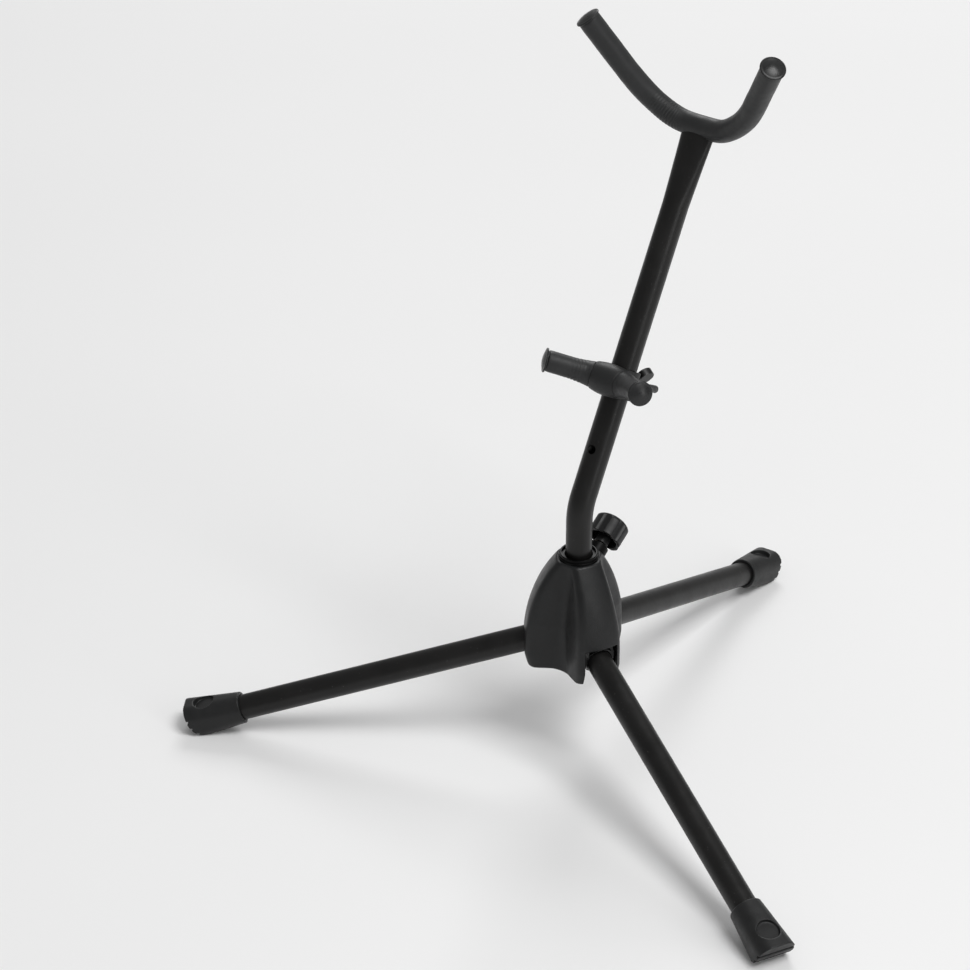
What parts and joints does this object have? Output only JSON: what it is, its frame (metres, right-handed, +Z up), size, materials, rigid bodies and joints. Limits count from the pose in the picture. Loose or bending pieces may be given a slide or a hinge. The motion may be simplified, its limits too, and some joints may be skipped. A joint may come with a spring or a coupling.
{
  "type": "saxophone stand",
  "caption": "Folding floor stand for a saxophone: tripod base with rubber feet, clamped bent post, padded fork for the bell and two padded arms for the body.",
  "frame": {"origin": "on the floor under the middle of the bounding box", "axes": "+Z up; the post leans back towards +Y, so the horn rests on the -Y side; +X is to the right of someone facing the horn's side"},
  "size_m": [0.5448, 0.4923, 0.5557],
  "materials": {
    "moulded_shell": "fine-grained satin",
    "moulded_body": "satin",
    "gloss_ring": "polished",
    "liner_plastic": "satin",
    "insert_brass": "machined",
    "black_hardware": "black zinc plated",
    "knob_plastic": "satin",
    "pin_steel": "ground",
    "coated_tube": "satin powder coat",
    "foot_rubber": "moulded matt",
    "rod_steel": "bare",
    "sleeve_rubber": "soft foam rubber, matt",
    "cap_rubber": "moulded"
  },
  "bodies": {
    "base": {"hub_cover": "moulded_shell", "hub_core": "moulded_body", "collar_ring": "gloss_ring", "clamp_insert": "insert_brass", "pivot_pin_rear": "pin_steel", "pivot_pin_left": "pin_steel", "pivot_pin_right": "pin_steel"},
    "liner": {"swivel_bush": "liner_plastic"},
    "post": {"post_tube": "coated_tube", "post_plug": "moulded_body", "fork_rod": "rod_steel", "fork_sleeve": "sleeve_rubber", "fork_cap_left": "cap_rubber", "fork_cap_right": "cap_rubber", "support_saddle": "moulded_body", "support_rod_left": "rod_steel", "support_rod_right": "rod_steel", "support_sleeve_left": "sleeve_rubber", "support_sleeve_right": "sleeve_rubber", "support_cap_left": "cap_rubber", "support_cap_right": "cap_rubber", "support_bolt": "black_hardware"},
    "shoe": {"clamp_shoe": "liner_plastic"},
    "knob": {"clamp_knob": "knob_plastic", "clamp_screw": "black_hardware"},
    "washer": {"support_washer": "black_hardware"},
    "nut": {"wing_nut": "black_hardware"},
    "leg_rear": {"leg_knuckle_rear": "moulded_body", "leg_tube_rear": "coated_tube", "foot_rear": "foot_rubber"},
    "leg_left": {"leg_knuckle_left": "moulded_body", "leg_tube_left": "coated_tube", "foot_left": "foot_rubber"},
    "leg_right": {"leg_knuckle_right": "moulded_body", "leg_tube_right": "coated_tube", "foot_right": "foot_rubber"}
  },
  "joints": [
    {"name": "leg_fold_rear", "type": "hinge", "parent": "base", "child": "leg_rear", "pos_m": [-0.01147, -0.03706, 0.09994], "axis": [-0.9977, -0.068, 0], "range_deg": [0, 65]},
    {"name": "leg_fold_left", "type": "hinge", "parent": "base", "child": "leg_left", "pos_m": [-0.03128, -0.0775, 0.09994], "axis": [0.5577, -0.83, 0], "range_deg": [0, 65]},
    {"name": "leg_fold_right", "type": "hinge", "parent": "base", "child": "leg_right", "pos_m": [0.01365, -0.07444, 0.09994], "axis": [0.4399, 0.898, 0], "range_deg": [0, 65]},
    {"name": "post_swivel", "type": "hinge", "parent": "base", "child": "liner", "pos_m": [-0.0097, -0.063, 0.10874], "axis": [0, 0, 1], "continuous": true},
    {"name": "post_height", "type": "slide", "parent": "liner", "child": "post", "axis": [0, 0, 1], "range_m": [0, 0.05]},
    {"name": "shoe_travel", "type": "slide", "parent": "base", "child": "shoe", "axis": [-0.0601, 0.8809, 0.4695], "range_m": [0, 0.0025]},
    {"name": "knob_turn", "type": "hinge", "parent": "shoe", "child": "knob", "pos_m": [-0.0097, -0.063, 0.14934], "axis": [-0.0601, 0.8809, 0.4695], "range_deg": [0, 720.5]},
    {"name": "washer_travel", "type": "slide", "parent": "post", "child": "washer", "axis": [0, 0.8763, -0.4818], "range_m": [0, 0.03]},
    {"name": "nut_turn", "type": "hinge", "parent": "washer", "child": "nut", "pos_m": [-0.0097, -0.01492, 0.29969], "axis": [0, 0.8763, -0.4818], "range_deg": [0, 10801]}
  ],
  "couplings": [
    {"joint": "knob_turn", "follows": "shoe_travel", "rad_per_m": 5026.5},
    {"joint": "nut_turn", "follows": "washer_travel", "rad_per_m": 6283.2}
  ]
}
